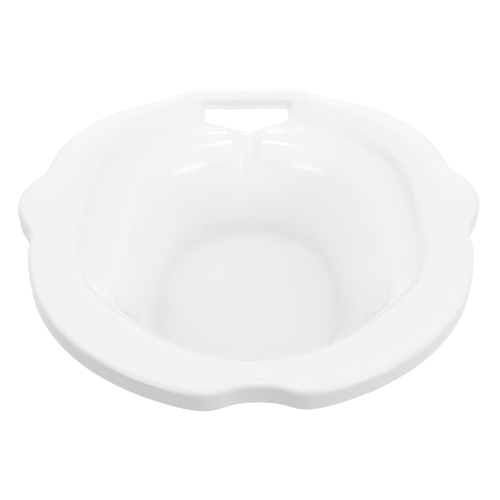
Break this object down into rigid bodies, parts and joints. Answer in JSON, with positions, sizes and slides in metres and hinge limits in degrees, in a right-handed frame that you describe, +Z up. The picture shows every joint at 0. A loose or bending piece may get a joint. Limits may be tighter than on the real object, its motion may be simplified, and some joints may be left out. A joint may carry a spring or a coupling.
{
  "type": "toilet-top wash basin",
  "caption": "Shallow white plastic basin set on a toilet as a bidet or sitz bath: wide skirted rim, deep flat-floored bowl, handle bar with finger slot, side ears and a notch in front.",
  "frame": {"origin": "under the middle of the outline, on the surface that the bowl's flat floor stands on", "axes": "+X to the right side (mirror symmetric about X = 0), +Y towards the handle bar, +Z up out of the bowl"},
  "size_m": [0.4352, 0.396, 0.1019],
  "materials": {
    "white_polypropylene": "semi-gloss moulded, slightly translucent"
  },
  "bodies": {
    "root": {"front_notch_lip": "white_polypropylene", "skirt_front_left": "white_polypropylene", "skirt_front_right": "white_polypropylene", "skirt_back_left": "white_polypropylene", "skirt_back_right": "white_polypropylene", "rim_deck_front_left": "white_polypropylene", "rim_deck_front_right": "white_polypropylene", "rim_deck_back_left": "white_polypropylene", "rim_deck_back_right": "white_polypropylene", "grip_ear_left": "white_polypropylene", "grip_ear_right": "white_polypropylene", "handle_bar": "white_polypropylene", "ledge_left": "white_polypropylene", "ledge_right": "white_polypropylene", "front_inner_lip": "white_polypropylene", "overflow_spout": "white_polypropylene", "bowl_wall_front": "white_polypropylene", "bowl_wall_right": "white_polypropylene", "bowl_wall_back": "white_polypropylene", "bowl_wall_left": "white_polypropylene", "basin_floor": "white_polypropylene"}
  },
  "joints": []
}
